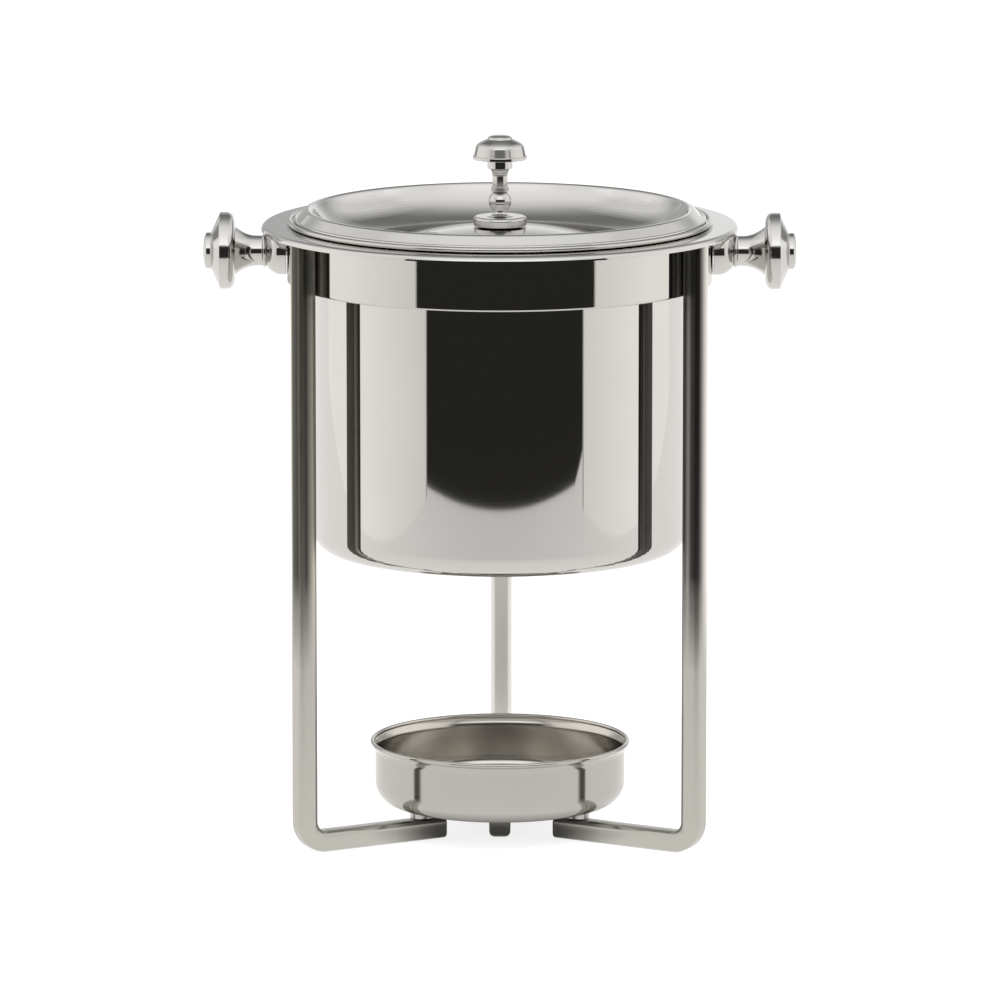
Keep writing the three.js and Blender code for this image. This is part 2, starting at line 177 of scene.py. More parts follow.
def standing(name, foot_a, foot_b, height, colour, strength):
    """An upright board over a line on the table. Returns what mirrored returns."""
    bpy.ops.object.select_all(action="DESELECT")
    bpy.ops.mesh.primitive_plane_add(size=1)
    board = bpy.context.object
    corners = ((*foot_a, 0), (*foot_b, 0), (*foot_a, height), (*foot_b, height))
    for vertex, corner in zip(board.data.vertices, corners):
        vertex.co = corner
    return mirrored(board, name, colour, strength)


board_feet = {
    "left": ((-0.933, -0.995), (-1.45, 1.075)),
    "right": ((1.0, -0.845), (1.43, 0.95)),
}
board_height = 1.4
board_glow = 1.12
board_tones = ((0.8, 0.78, 0.76, 1), (1.04, 1.015, 0.985, 1))
board_fade = 1.1
board_edge = 0.02
board_edge_colour = (1.0, 0.97, 0.92)
board_edge_glow = 0.5
for side, (front, back) in board_feet.items():
    along = Vector(back) - Vector(front)
    inner = Vector(front) + along.normalized() * board_edge
    board_shader, wire = standing("board_" + side, inner, back, board_height, (1, 1, 1), board_glow)
    board_place = wire.node("ShaderNodeTexCoord", output="Object")
    board_y = wire.node("ShaderNodeSeparateXYZ", inputs={0: board_place}, output=1)
    wire.node(
        "ShaderNodeMix", {"data_type": "RGBA"},
        {"Factor": ((board_y + 1.0) * board_fade).clamped(), "A": board_tones[0], "B": board_tones[1]},
        output=2,
    ).feeds(board_shader.inputs["Emission Color"])
    standing("board_edge_" + side, front, inner, board_height, board_edge_colour, board_edge_glow)

card_feet = ((-0.9, 2.0), (-0.17, 2.0))
card_height = 1.1
card_glow = 0.5
standing("grey_card", *card_feet, card_height, (1.0, 1.0, 1.0), card_glow)

lit_level = 0.001
lit_reach = 5.0
lit_tones = ((1.05, 1.03, 1.01, 1), (0.76, 0.75, 0.73, 1))
lit_fade = 0.75
# Round the middle the lit table turns darker: a painted shadow of the cup, which the steel sees.
shade_tone = (0.28, 0.27, 0.26, 1)
shade_radius = 0.045
shade_fade = 25.0
bpy.ops.object.select_all(action="DESELECT")
bpy.ops.mesh.primitive_circle_add(
    vertices=96, radius=lit_reach, location=(0, 0, lit_level), fill_type="NGON",
)
lit_table = bpy.context.object
lit_shader, wire = mirrored(lit_table, "lit_table", (1, 1, 1), 1.0)
lit_place = wire.node("ShaderNodeTexCoord", output="Object")
lit_forward = wire.node("ShaderNodeSeparateXYZ", inputs={0: lit_place}, output=1) * -lit_fade
lit_tone = wire.node(
    "ShaderNodeMix", {"data_type": "RGBA"},
    {"Factor": lit_forward.clamped(), "A": lit_tones[0], "B": lit_tones[1]}, output=2,
)
lit_distance = wire.node("ShaderNodeVectorMath", {"operation": "LENGTH"}, {0: lit_place}, output=1)
wire.node(
    "ShaderNodeMix", {"data_type": "RGBA"},
    {"Factor": ((lit_distance - shade_radius) * shade_fade).clamped(), "A": shade_tone, "B": lit_tone},
    output=2,
).feeds(lit_shader.inputs["Emission Color"])

dark_level = 0.002
dark_middle = 0.4
dark_start = 1.72
dark_reach = 5.0
dark_height = 1.9
dark_back = -1.0
dark_glow = 0.024
bpy.ops.object.select_all(action="DESELECT")
bpy.ops.mesh.primitive_circle_add(vertices=96, radius=dark_start, location=(0, dark_middle, dark_level))
dark = bpy.context.object
bpy.ops.object.mode_set(mode="EDIT")
bpy.ops.mesh.extrude_region_move()
bpy.ops.transform.resize(value=(dark_reach / dark_start, dark_reach / dark_start, 1))
bpy.ops.mesh.extrude_region_move(TRANSFORM_OT_translate={"value": (0, 0, dark_height)})
bpy.ops.mesh.select_all(action="SELECT")
bpy.ops.mesh.bisect(plane_co=(0, dark_back, 0), plane_no=(0, 1, 0), clear_outer=True)
bpy.ops.object.mode_set(mode="OBJECT")
mirrored(dark, "dark_studio", (1.0, 0.98, 0.93), dark_glow)

world = bpy.data.worlds.new("studio")
world.use_nodes = True
world.node_tree.nodes["Background"].inputs["Color"].default_value = (1, 1, 1, 1)
bpy.context.scene.world = world
sky = Wire(world.node_tree)
sky_way = sky.node("ShaderNodeTexCoord", output="Generated")
sky_x, sky_y, sky_z = (
    sky.node("ShaderNodeSeparateXYZ", inputs={0: sky_way}, output=i) for i in range(3)
)
side_start, side_slope = 0.34, 4.5
flank_start, flank_slope, flank_level = 0.66, 8.0, 0.12
sky_glow = 1.7
over = sky.math("ARCTAN2", sky_z, sky_y) / math.pi
middle_levels = sky.node(
    "ShaderNodeValToRGB",
    {"stops": [
        (0.0, 0.56), (0.06, 0.53), (0.1, 0.37), (0.14, 0.28), (0.18, 0.15), (0.24, 0.13), (0.3, 0.15),
        (0.38, 0.27), (0.46, 0.47), (0.54, 0.62), (0.62, 0.68), (0.7, 0.75), (0.86, 0.94),
        (0.885, 0.12), (1.0, 0.02),
    ]},
    {"Fac": over},
)
side_levels = sky.node(
    "ShaderNodeValToRGB",
    {"stops": [
        (0.0, 0.15), (0.06, 0.25), (0.1, 0.31), (0.15, 0.47), (0.2, 0.54), (0.34, 0.53), (0.42, 0.52),
        (0.5, 0.635), (0.62, 0.65), (0.7, 0.6), (1.0, 0.6),
    ]},
    {"Fac": over},
)
sideways = sky.math("ABSOLUTE", sky_x)
side_share = ((sideways - side_start) * side_slope).clamped()
flanks = ((sideways - flank_start) * flank_slope).clamped() * flank_level
level = (middle_levels * (1.0 - side_share) + side_levels * side_share + flanks) * sky_glow
seen_directly = sky.node("ShaderNodeLightPath", output="Is Camera Ray")
sky.node(
    "ShaderNodeMix", {"data_type": "FLOAT"}, {"Factor": seen_directly, "A": level, "B": 1.0},
).feeds(world.node_tree.nodes["Background"].inputs["Strength"])

lamp_place = Vector((0.6, -1.0, 2.6))
lamp_target = Vector((0, 0, 0.2))
lamp_size = 3.0
lamp_energy = 60
bpy.ops.object.light_add(type="AREA", location=lamp_place)
lamp = bpy.context.object
lamp.name = "soft_light"
lamp.data.shape = "DISK"
lamp.data.size = lamp_size
lamp.data.energy = lamp_energy
lamp.rotation_euler = (lamp_target - lamp_place).to_track_quat("-Z", "Y").to_euler()
lamp.visible_glossy = False
bpy.context.scene.view_settings.view_transform = "Standard"


# The water pan. Stainless sheet, deep drawn in one piece: a flat floor, a straight wall, a small
# shoulder and a wide flange with a rolled edge. It hangs in the ring by the flange.
def arc(centre, radius, start, end, steps):
    """Points of an arc in the plane of a turned piece's outline. Angles are in degrees."""
    points = []
    for i in range(steps + 1):
        angle = math.radians(start + (end - start) * i / steps)
        points.append((centre[0] + radius * math.cos(angle), centre[1] + radius * math.sin(angle)))
    return points


def curve(start, pull, end, steps):
    """Points of a curve from start to end, drawn towards pull. The start is left out."""
    points = []
    for i in range(1, steps + 1):
        t = i / steps
        shares = ((1 - t) ** 2, 2 * t * (1 - t), t ** 2)
        points.append(tuple(sum(s * p[k] for s, p in zip(shares, (start, pull, end))) for k in (0, 1)))
    return points


def through_sheet(face, thickness):
    """The sheet's other face: each point moved to the left of the way the outline runs."""
    back = []
    for i, point in enumerate(face):
        before = Vector(face[max(i - 1, 0)])
        after = Vector(face[min(i + 1, len(face) - 1)])
        here = Vector(point)
        into = (here - before).normalized() if i else (after - here).normalized()
        out = (after - here).normalized() if i < len(face) - 1 else into
        reach = thickness / (1 + into.dot(out))
        x = point[0] - (into.y + out.y) * reach
        back.append((x if point[0] > 0 else 0.0, point[1] + (into.x + out.x) * reach))
    return back


def sheet_outline(face, thickness, bead=0.0):
    """The closed outline of a sheet: one face, a rolled bead at its far end, and the other face."""
    back = through_sheet(face, thickness)
    roll = []
    if bead:
        run = (Vector(face[-1]) - Vector(face[-2])).normalized()
        centre = (face[-1][0] - run.y * bead, face[-1][1] + run.x * bead)
        start = math.degrees(math.atan2(-run.x, run.y))
        sweep = 270 + math.degrees(math.asin((bead - thickness) / bead))
        roll = arc(centre, bead, start, start + sweep, 28)[1:]
        back = back[:-1]
    return [*face, *roll, *reversed(back)]


def turned(name, outline, sides=256, hold=0.0004):
    """Draws an outline of (radius, height) points from one vertex and spins it round the Z axis.

    A point near each end of a straight stretch holds it flat where a smooth curve follows.
    """
    corners = [p for i, p in enumerate(outline) if i == 0 or math.dist(p, outline[i - 1]) > 1e-6]
    if corners[0][0] > 0 and math.dist(corners[0], corners[-1]) > 1e-6:
        corners.append(corners[0])
    points = [corners[0]]
    for here, there in zip(corners, corners[1:]):
        length = math.dist(here, there)
        if length > 3 * hold:
            for share in (hold / length, 1 - hold / length):
                points.append(tuple(a + (b - a) * share for a, b in zip(here, there)))
        points.append(there)
    bpy.ops.object.select_all(action="DESELECT")
    bpy.ops.mesh.primitive_plane_add(size=0.001, location=(points[0][0], 0, points[0][1]))
    piece = bpy.context.object
    piece.name = name
    bpy.ops.object.transform_apply()
    bpy.ops.object.mode_set(mode="EDIT")
    bpy.ops.mesh.merge(type="CENTER")
    for here, there in zip(points, points[1:]):
        step = (there[0] - here[0], 0, there[1] - here[1])
        bpy.ops.mesh.extrude_region_move(TRANSFORM_OT_translate={"value": step})
    bpy.ops.mesh.select_all(action="SELECT")
    bpy.ops.mesh.spin(steps=sides, angle=2 * math.pi, center=(0, 0, 0), axis=(0, 0, 1))
    bpy.ops.mesh.select_all(action="SELECT")
    bpy.ops.mesh.remove_doubles(threshold=2e-6)
    bpy.ops.mesh.normals_make_consistent(inside=False)
    bpy.ops.object.mode_set(mode="OBJECT")
    bpy.ops.object.shade_smooth_by_angle(angle=math.radians(35))
    return piece


cloud_scale = 22.0
cloud_shade = 0.94
wave_scale = 9.0
wave_depth = 0.00006
polish_spread = 0.4


def turned_steel(name, colour, roughness, line_size, line_depth, axis="Z", centre=(0, 0, 0)):
    """Polished steel with the fine lines that a wheel leaves round a turned piece."""
    material, shader, wire = new_material(name)
    place = wire.node("ShaderNodeTexCoord", output="Object")
    turn = (0, 0, 0) if axis == "Z" else (0, math.pi / 2, 0)
    centred = wire.node(
        "ShaderNodeMapping", {"vector_type": "TEXTURE"},
        {"Vector": place, "Location": centre, "Rotation": turn},
    )
    x, y, z = (wire.node("ShaderNodeSeparateXYZ", inputs={0: centred}, output=i) for i in range(3))
    radius = (x * x + y * y) ** 0.5
    outline = wire.node("ShaderNodeCombineXYZ", inputs={0: radius, 1: z})
    lines = wire.node(
        "ShaderNodeTexNoise", inputs={"Vector": outline, "Scale": 1 / line_size, "Detail": 3.0},
    )
    clouds = wire.node("ShaderNodeTexNoise", inputs={"Vector": place, "Scale": cloud_scale, "Detail": 3.0})
    waves = wire.node("ShaderNodeTexNoise", inputs={"Vector": place, "Scale": wave_scale, "Detail": 0.0})
    wire.node(
        "ShaderNodeMix", {"data_type": "RGBA"},
        {"Factor": clouds, "A": (*colour, 1), "B": (*(cloud_shade * c for c in colour), 1)}, output=2,
    ).feeds(shader.inputs["Base Color"])
    shader.inputs["Metallic"].default_value = 1
    (roughness * (1 + (lines + clouds - 1.0) * polish_spread)).clamped().feeds(shader.inputs["Roughness"])
    relief = lines * line_depth + waves * wave_depth
    wire.node("ShaderNodeBump", inputs={"Height": relief, "Distance": 1.0, "Strength": 1.0}).feeds(
        shader.inputs["Normal"])
    return material


def finished(piece, material, slot, body, *nodes):
    """Gives a piece its material and its body, and hides the plain nodes it stands for."""
    piece.data.materials.clear()
    piece.data.materials.append(material)
    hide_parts(*nodes)
    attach(piece, body)


pan_low, pan_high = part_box("water_pan")
pan_sheet = 0.0015
pan_radius = 0.1122
pan_corner = 0.012
pan_shoulder = 0.0045
pan_fold = 0.0017
pan_lip = 0.0034
pan_underside = pan_high.z - pan_sheet
lip_face = pan_high.x - pan_sheet
pan_face = [
    (0, pan_low.z),
    *arc((pan_radius - pan_corner, pan_low.z + pan_corner), pan_corner, -90, 0, 14),
    *arc((pan_radius + pan_shoulder, pan_underside - pan_shoulder), pan_shoulder, 180, 90, 10),
    *arc((lip_face - pan_fold, pan_underside - pan_fold), pan_fold, 90, 0, 8),
    (lip_face, pan_high.z - pan_lip),
]
pan_steel = turned_steel(
    "pan_steel", (0.64, 0.63, 0.615), roughness=0.03, line_size=0.0007, line_depth=2e-7,
)
water_pan = turned("water_pan_polished", sheet_outline(pan_face, pan_sheet))
finished(water_pan, pan_steel, "pan_steel", "water_pan", "water_pan")

# The food pan. Thinner sheet that drops into the water pan and rests on its flange by a beaded rim.
# Satin inside, and only the bead shows while the lid is on.
food_low, food_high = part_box("food_pan")
food_sheet = 0.0012
food_radius = 0.1078
food_corner = 0.014
food_shoulder = 0.009
food_bead = 0.0015
food_underside = food_high.z - 2 * food_bead
food_face = [
    (0, food_low.z),
    *arc((food_radius - food_corner, food_low.z + food_corner), food_corner, -90, 0, 14),
    *arc((food_radius + food_shoulder, food_underside - food_shoulder), food_shoulder, 180, 90, 12),
    (food_high.x - food_bead, food_underside),
]
food_steel = turned_steel(
    "food_pan_steel", (0.6, 0.59, 0.57), roughness=0.16, line_size=0.0006, line_depth=1e-6,
)
food_pan = turned("food_pan_satin", sheet_outline(food_face, food_sheet, food_bead))
finished(food_pan, food_steel, "food_pan_steel", "food_pan", "food_pan")

# The lid. One spun sheet: a shallow dome, a round valley that catches drips, a raised crest and a
# beaded edge that rests in the food pan's rim. It is polished bright.
lid_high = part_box("lid")[1]
lid_sheet = 0.0012
lid_bead = 0.0011
lid_foot = 0.001
lid_crest_height = 0.0074
lid_crest_arc = 0.003
lid_crest_radius = 0.1141
lid_valley_inset = 0.036
lid_valley_drop = 0.0137
lid_crown_drop = 0.0031
lid_hole = 0.0023
seat_gap = 0.0003
lid_seat = food_underside + food_sheet + seat_gap
valley_radius = lid_crest_radius - lid_valley_inset
dome_fall = lid_valley_drop - lid_crown_drop
wall_rise = lid_valley_drop + lid_crest_height
dome_and_valley = (valley_radius ** 2 + dome_fall ** 2) / (2 * dome_fall)
valley_and_crest = (lid_valley_inset ** 2 + wall_rise ** 2) / (2 * wall_rise)
valley_arc = valley_and_crest - lid_crest_arc
crown_arc = dome_and_valley - valley_arc
dome_lean = math.degrees(math.asin(valley_radius / dome_and_valley))
wall_lean = math.degrees(math.asin(lid_valley_inset / valley_and_crest))
dome_under = crown_arc - lid_sheet
crest_under = lid_crest_arc - lid_sheet
hole_lean = math.degrees(math.asin(lid_hole / dome_under))
crest_centre = Vector((lid_crest_radius, lid_seat + lid_crest_height - lid_crest_arc))
foot_start = Vector((lid_high.x - lid_bead - lid_foot, lid_seat))
to_foot = foot_start - crest_centre
slope_start = math.degrees(math.atan2(to_foot.y, to_foot.x) + math.acos(crest_under / to_foot.length))
lid_face = [
    *arc((0, lid_seat - lid_crown_drop - crown_arc), dome_under, 90 - hole_lean, 90 - dome_lean, 20),
    *arc((valley_radius, lid_seat - lid_valley_drop + valley_arc), valley_arc + lid_sheet,
         -90 - dome_lean, -90 + wall_lean, 24),
    *arc(crest_centre, crest_under, 90 + wall_lean, slope_start, 14),
    tuple(foot_start),
    (lid_high.x - lid_bead, lid_seat),
]
lid = turned("lid_polished", sheet_outline(lid_face, lid_sheet, lid_bead))
finished(lid, pan_steel, "pan_steel", "lid", "lid")


# The knob's plate. A turned steel disc with a rounded upper edge and a hole for the screw. It lies
# between the knob and the lid, and spreads the knob's load on the thin sheet.
def edged(piece, width, steps=3, angle=35):
    """Breaks a piece's sharp edges, as a polishing wheel does."""
    bpy.ops.object.select_all(action="DESELECT")
    piece.select_set(True)
    bpy.context.view_layer.objects.active = piece
    bevel = piece.modifiers.new("broken_edges", "BEVEL")
    bevel.width = width
    bevel.segments = steps
    bevel.limit_method = "ANGLE"
    bevel.angle_limit = math.radians(angle)
    bevel.harden_normals = False
    bpy.ops.object.modifier_apply(modifier=bevel.name)
    bpy.ops.object.shade_smooth_by_angle(angle=math.radians(angle))
    return piece


knob_sides = 128
plate_low, plate_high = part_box("lid_knob_plate")
plate_radius = 0.0158
plate_round = 0.0018
plate_bore = 0.0023
plate_break = 0.0002
knob_steel = turned_steel(
    "knob_steel", (0.6, 0.59, 0.575), roughness=0.09, line_size=0.0005, line_depth=6e-7,
)
plate_outline = [
    (plate_bore, plate_low.z),
    (plate_radius, plate_low.z),
    *arc((plate_radius - plate_round, plate_high.z - plate_round), plate_round, 0, 90, 10),
    (plate_bore, plate_high.z),
]
knob_plate = edged(turned("lid_knob_plate_polished", plate_outline, knob_sides), plate_break)
finished(knob_plate, knob_steel, "knob_steel", "lid", "lid_knob_plate")

# The knob. Turned from one bar: a coved step, a ball between two waists, a ring, a neck that flares
# into the collar, and a lipped cap with a low boss.
knob_low, knob_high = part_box("lid_knob")
# Each stretch of the knob has a radius and a height.
knob_step = (0.008, 0.0025)
knob_ball = (0.0068, 0.0122)
knob_ring = (0.0052, 0.0027)
knob_neck = (0.0046, 0.011)
neck_straight = 0.0062
knob_collar = (0.0075, 0.0055)
knob_lip = (0.0162, 0.002)
knob_cap = (0.0157, 0.0054)
knob_cap_lean = 0.0013
knob_shoulder = 0.0046
knob_boss = (0.0074, 0.0025)
knob_bore_depth = 0.0034
knob_break = 0.00025
ball_foot = knob_low.z + knob_step[1]
ball_top = ball_foot + knob_ball[1]
ring_top = ball_top + knob_ring[1]
collar_foot = ring_top + knob_neck[1]
lip_foot = collar_foot + knob_collar[1]
cap_foot = lip_foot + knob_lip[1]
cap_shoulder = cap_foot + knob_cap[1]
boss_foot = cap_shoulder + knob_shoulder
ball_lean = math.degrees(math.asin(knob_ball[1] / 2 / knob_ball[0]))
waist = knob_ball[0] * math.cos(math.radians(ball_lean))
knob_outline = [
    (0, knob_low.z + knob_bore_depth),
    (plate_bore, knob_low.z + knob_bore_depth),
    (plate_bore, knob_low.z),
    (knob_step[0], knob_low.z),
    *curve((knob_step[0], knob_low.z), (waist, knob_low.z), (waist, ball_foot), 8),
    *arc((0, (ball_foot + ball_top) / 2), knob_ball[0], -ball_lean, ball_lean, 28),
    (knob_ring[0], ball_top),
    (knob_ring[0], ring_top),
    (knob_neck[0], ring_top),
    (knob_neck[0], ring_top + neck_straight),
    *curve((knob_neck[0], ring_top + neck_straight), (knob_neck[0], collar_foot),
           (knob_collar[0], collar_foot), 16),
    (knob_collar[0], lip_foot),
    (knob_lip[0], lip_foot),
    (knob_lip[0], cap_foot),
    (knob_cap[0], cap_foot),
    (knob_cap[0] - knob_cap_lean, cap_shoulder),
    *curve((knob_cap[0] - knob_cap_lean, cap_shoulder),
           (knob_cap[0] - 1.5 * knob_cap_lean, (cap_shoulder + boss_foot) / 2),
           (knob_boss[0], boss_foot), 12),
    *curve((knob_boss[0], boss_foot), (knob_boss[0], knob_high.z), (0, knob_high.z), 12),
]
lid_knob = edged(turned("lid_knob_polished", knob_outline, knob_sides), knob_break)
finished(lid_knob, knob_steel, "knob_steel", "lid", "lid_knob")


# Under the lid. A steel washer, and a pan-head screw with a cross recess. The screw goes up through
# the lid and the plate into the knob, and holds the three together.
def moved(piece, place=(0, 0, 0), turn=(0, 0, 0)):
    """Turns and moves a piece, and keeps its place in its mesh."""
    bpy.ops.object.select_all(action="DESELECT")
    piece.select_set(True)
    bpy.context.view_layer.objects.active = piece
    piece.rotation_euler = turn
    piece.location = place
    bpy.ops.object.transform_apply()
    return piece


screw_sides = 64


def washer(name, bore, radius, height):
    """A flat ring that lies on z = 0."""
    outline = [(bore, 0), (radius, 0), (radius, height), (bore, height)]
    return edged(turned(name, outline, screw_sides), height / 6)


def screw(name, radius, depth, head_radius, head_height, chamfer=0.0004):
    """A pan-head screw whose head sits on z = 0. Its shank runs down to -depth."""
    outline = [
        (0, -depth),
        (radius - chamfer, -depth),
        (radius, chamfer - depth),
        (radius, 0),
        (head_radius, 0),
        (head_radius, head_height / 2),
        *curve((head_radius, head_height / 2), (head_radius, head_height), (0, head_height), 10),
    ]
    bolt = turned(name, outline, screw_sides)
    slot_width = head_radius * 0.24
    slot_length = head_radius * 1.15
    slot_foot = head_height * 0.35
    bpy.ops.object.select_all(action="DESELECT")
    bpy.ops.mesh.primitive_cube_add(size=1, location=(0, 0, slot_foot + head_height))
    cutter = bpy.context.object
    cutter.dimensions = (slot_length, slot_width, 2 * head_height)
    bpy.ops.object.transform_apply()
    bpy.ops.object.mode_set(mode="EDIT")
    bpy.ops.mesh.duplicate()
    bpy.ops.transform.rotate(value=math.pi / 2, orient_axis="Z", center_override=(0, 0, 0))
    bpy.ops.object.mode_set(mode="OBJECT")
    recess = bolt.modifiers.new("recess", "BOOLEAN")
    recess.object = cutter
    recess.use_self = True
    bpy.ops.object.select_all(action="DESELECT")
    bolt.select_set(True)
    bpy.context.view_layer.objects.active = bolt
    bpy.ops.object.modifier_apply(modifier=recess.name)
    bpy.data.objects.remove(cutter)
    return edged(bolt, head_height / 14, 2)


screw_steel = turned_steel(
    "screw_steel", (0.52, 0.51, 0.5), roughness=0.22, line_size=0.0003, line_depth=1e-6,
)
washer_low, washer_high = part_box("lid_washer")
lid_washer_radius = 0.006
lid_washer = washer("lid_washer_polished", plate_bore, lid_washer_radius, washer_high.z - washer_low.z)
moved(lid_washer, (0, 0, washer_low.z))
finished(lid_washer, screw_steel, "screw_steel", "lid", "lid_washer")
screw_low, screw_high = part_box("lid_screw")
lid_screw_head = (0.0038, 0.0024)
lid_screw_seat = screw_low.z + lid_screw_head[1]
lid_screw_radius = 0.002
lid_screw = screw(
    "lid_screw_polished", lid_screw_radius, screw_high.z - lid_screw_seat, *lid_screw_head,
)
moved(lid_screw, (0, 0, lid_screw_seat), (math.pi, 0, 0))
finished(lid_screw, screw_steel, "screw_steel", "lid", "lid_screw")

# The ring. A hoop of flat bar, turned smooth, in which the pan hangs with room for hot air to rise.
band_low, band_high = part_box("stand_band")
band_wall = 0.003
band_edge = 0.001
band_break = 0.0004
band_radius = band_high.x
band_inner = band_radius - band_wall
band_outline = [
    (band_inner, band_low.z),
    *arc((band_radius - band_edge, band_low.z + band_edge), band_edge, -90, 0, 8),
    *arc((band_radius - band_edge, band_high.z - band_edge), band_edge, 0, 90, 8),
    (band_inner, band_high.z),
]
frame_steel = turned_steel(
    "frame_steel", (0.63, 0.62, 0.6), roughness=0.04, line_size=0.0008, line_depth=3e-7,
)
band = edged(turned("stand_band_polished", band_outline), band_break)
finished(band, frame_steel, "frame_steel", "stand", "stand_band")


# The legs. Three square bars with round edges, bent in at the table, polished along their length and
# welded to the ring. The two front feet stop short of the middle and the back one crosses it.
bar_width = 0.0127
leg_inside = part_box("leg_back")[1].y - bar_width
grain_stretch = 0.03
grain_turn = (0.012, 200.0)
grain_spread = 0.12
cloud_spread = 0.06
leg_cloud_scale = 30.0
reflection_band_start = 0.11
reflection_band_blend = 0.06
reflection_band_raggedness = 0.4
reflection_band_green = 0.98
under_cup_shade = 0.32
under_cup_shade_reach = 0.045
under_cup_shade_blend = 0.03
under_cup_shade_raggedness = 0.5
inner_depth = 0.003
inner_blend = 500.0
inner_roughness = 0.6


def drawn_steel(name, foot_colour, painted_reflections, bearing, line_size, line_depth):
    """Steel with long fine lines along the bar, for one leg's bearing from the middle.

    Above the cup the bar has painted reflections: long light and dark bands whose stops run round its
    girth, from the edge of the outer face, across that face and then across one side. Under the cup it
    has painted shade, darker towards the middle. The face towards the pan is dull, where no wheel
    reached, and its colour is a painted tone: shade on the front legs, light on the back one.
    """
    material, shader, wire = new_material(name)
    place = wire.node("ShaderNodeTexCoord", output="Object")
    along = wire.node(
        "ShaderNodeMapping", {"vector_type": "TEXTURE"}, {"Vector": place, "Rotation": (0, 0, bearing)},
    )
    x, y, z = (wire.node("ShaderNodeSeparateXYZ", inputs={0: along}, output=i) for i in range(3))
    upright = ((z - grain_turn[0]) * grain_turn[1]).clamped()
    long_way = (x * (1 - upright) + z * upright) * grain_stretch
    across = z * (1 - upright) + x * upright
    grain = wire.node("ShaderNodeCombineXYZ", inputs={0: long_way, 1: y, 2: across})
    lines = wire.node(
        "ShaderNodeTexNoise", inputs={"Vector": grain, "Scale": 1 / line_size, "Detail": 4.0},
    )
    clouds = wire.node(
        "ShaderNodeTexNoise", inputs={"Vector": place, "Scale": leg_cloud_scale, "Detail": 3.0},
    )
    # Above this height the bar takes the painted reflection bands; below it, the foot colour.
    height = ((z - reflection_band_start) / reflection_band_blend + (clouds - 0.5) * reflection_band_raggedness).clamped()
    girth = ((y * painted_reflections["side"] + bar_width / 2) + (leg_inside + bar_width - x)) / (2 * bar_width)
    level = wire.node("ShaderNodeValToRGB", {"stops": painted_reflections["stops"]}, {"Fac": girth})
    tone = wire.node(
        "ShaderNodeCombineXYZ", inputs={0: level, 1: level * reflection_band_green, 2: level * painted_reflections["blue"]},
    )
    # Towards the middle, under the cup, the foot colour turns darker: painted shade of the cup.
    outward = ((x - under_cup_shade_reach) / under_cup_shade_blend + (clouds - 0.5) * under_cup_shade_raggedness).clamped()
    shaded_foot_colour = (*(under_cup_shade * c for c in foot_colour), 1)
    foot_tone = wire.node(
        "ShaderNodeMix", {"data_type": "RGBA"},
        {"Factor": outward, "A": shaded_foot_colour, "B": (*foot_colour, 1)}, output=2,
    )
    painted_colour = wire.node(
        "ShaderNodeMix", {"data_type": "RGBA"}, {"Factor": height, "A": foot_tone, "B": tone}, output=2,
    )
    # The face towards the pan takes each leg's inner colour, a painted tone: painted shade on the front
    # legs, painted light on the back leg.
    inner = ((leg_inside + inner_depth - x) * inner_blend).clamped() * upright
    wire.node(
        "ShaderNodeMix", {"data_type": "RGBA"},
        {"Factor": inner, "A": painted_colour, "B": (*painted_reflections["inner"], 1)}, output=2,
    ).feeds(shader.inputs["Base Color"])
    shader.inputs["Metallic"].default_value = 1
    roughness = painted_reflections["foot"] * (1 - height) + painted_reflections["top"] * height
    roughness = roughness + (inner_roughness - roughness) * inner
    (roughness + (lines - 0.5) * grain_spread + (clouds - 0.5) * cloud_spread).clamped().feeds(
        shader.inputs["Roughness"])
    wire.node("ShaderNodeBump", inputs={"Height": lines * line_depth, "Distance": 1.0}).feeds(
        shader.inputs["Normal"])
    return material


bar_edge = 0.0034
bend_radius = 0.0065
bend_start = leg_inside - bend_radius
bend_height = bar_width + bend_radius
bar_end_round = 0.0012
leg_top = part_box("leg_back")[1].z
cup_screw_circle = 0.056
foot_past_screw = 0.0163
foot_past_middle = 0.022
foot_ends = {
    "leg_left": (-150, cup_screw_circle - foot_past_screw),
    "leg_right": (-30, cup_screw_circle - foot_past_screw),
    "leg_back": (90, -foot_past_middle),
}
foot_colour = (0.5, 0.49, 0.455)
leg_line_size = 0.0006
leg_line_depth = 4e-6
# Each leg's painted reflections: the stops are light and dark bands round the girth, inner is the painted
# tone of the face towards the pan, and foot and top are roughness.
leg_painted_reflections = {
    "leg_left": {
        "side": 1, "foot": 0.18, "top": 0.32, "blue": 0.84, "inner": (0.2, 0.19, 0.17),
        "stops": [
            (0.0, 0.85), (0.1, 0.7), (0.2, 0.07), (0.4, 0.045), (0.5, 0.2), (0.6, 0.2), (0.68, 0.06),
            (0.76, 0.25), (0.88, 0.6), (1.0, 0.8),
        ],
    },
    "leg_right": {
        "side": -1, "foot": 0.18, "top": 0.32, "blue": 0.93, "inner": (0.2, 0.19, 0.18),
        "stops": [
            (0.0, 0.85), (0.14, 0.8), (0.3, 0.4), (0.4, 0.15), (0.5, 0.07), (0.62, 0.04), (0.72, 0.06),
            (0.8, 0.3), (0.88, 0.1), (1.0, 0.7),
        ],
    },
    "leg_back": {
        "side": 1, "foot": 0.2, "top": 0.26, "blue": 0.94, "inner": (0.85, 0.835, 0.81),
        "stops": [(0.0, 0.6), (0.3, 0.42), (0.5, 0.55), (0.75, 0.4), (1.0, 0.6)],
    },
}
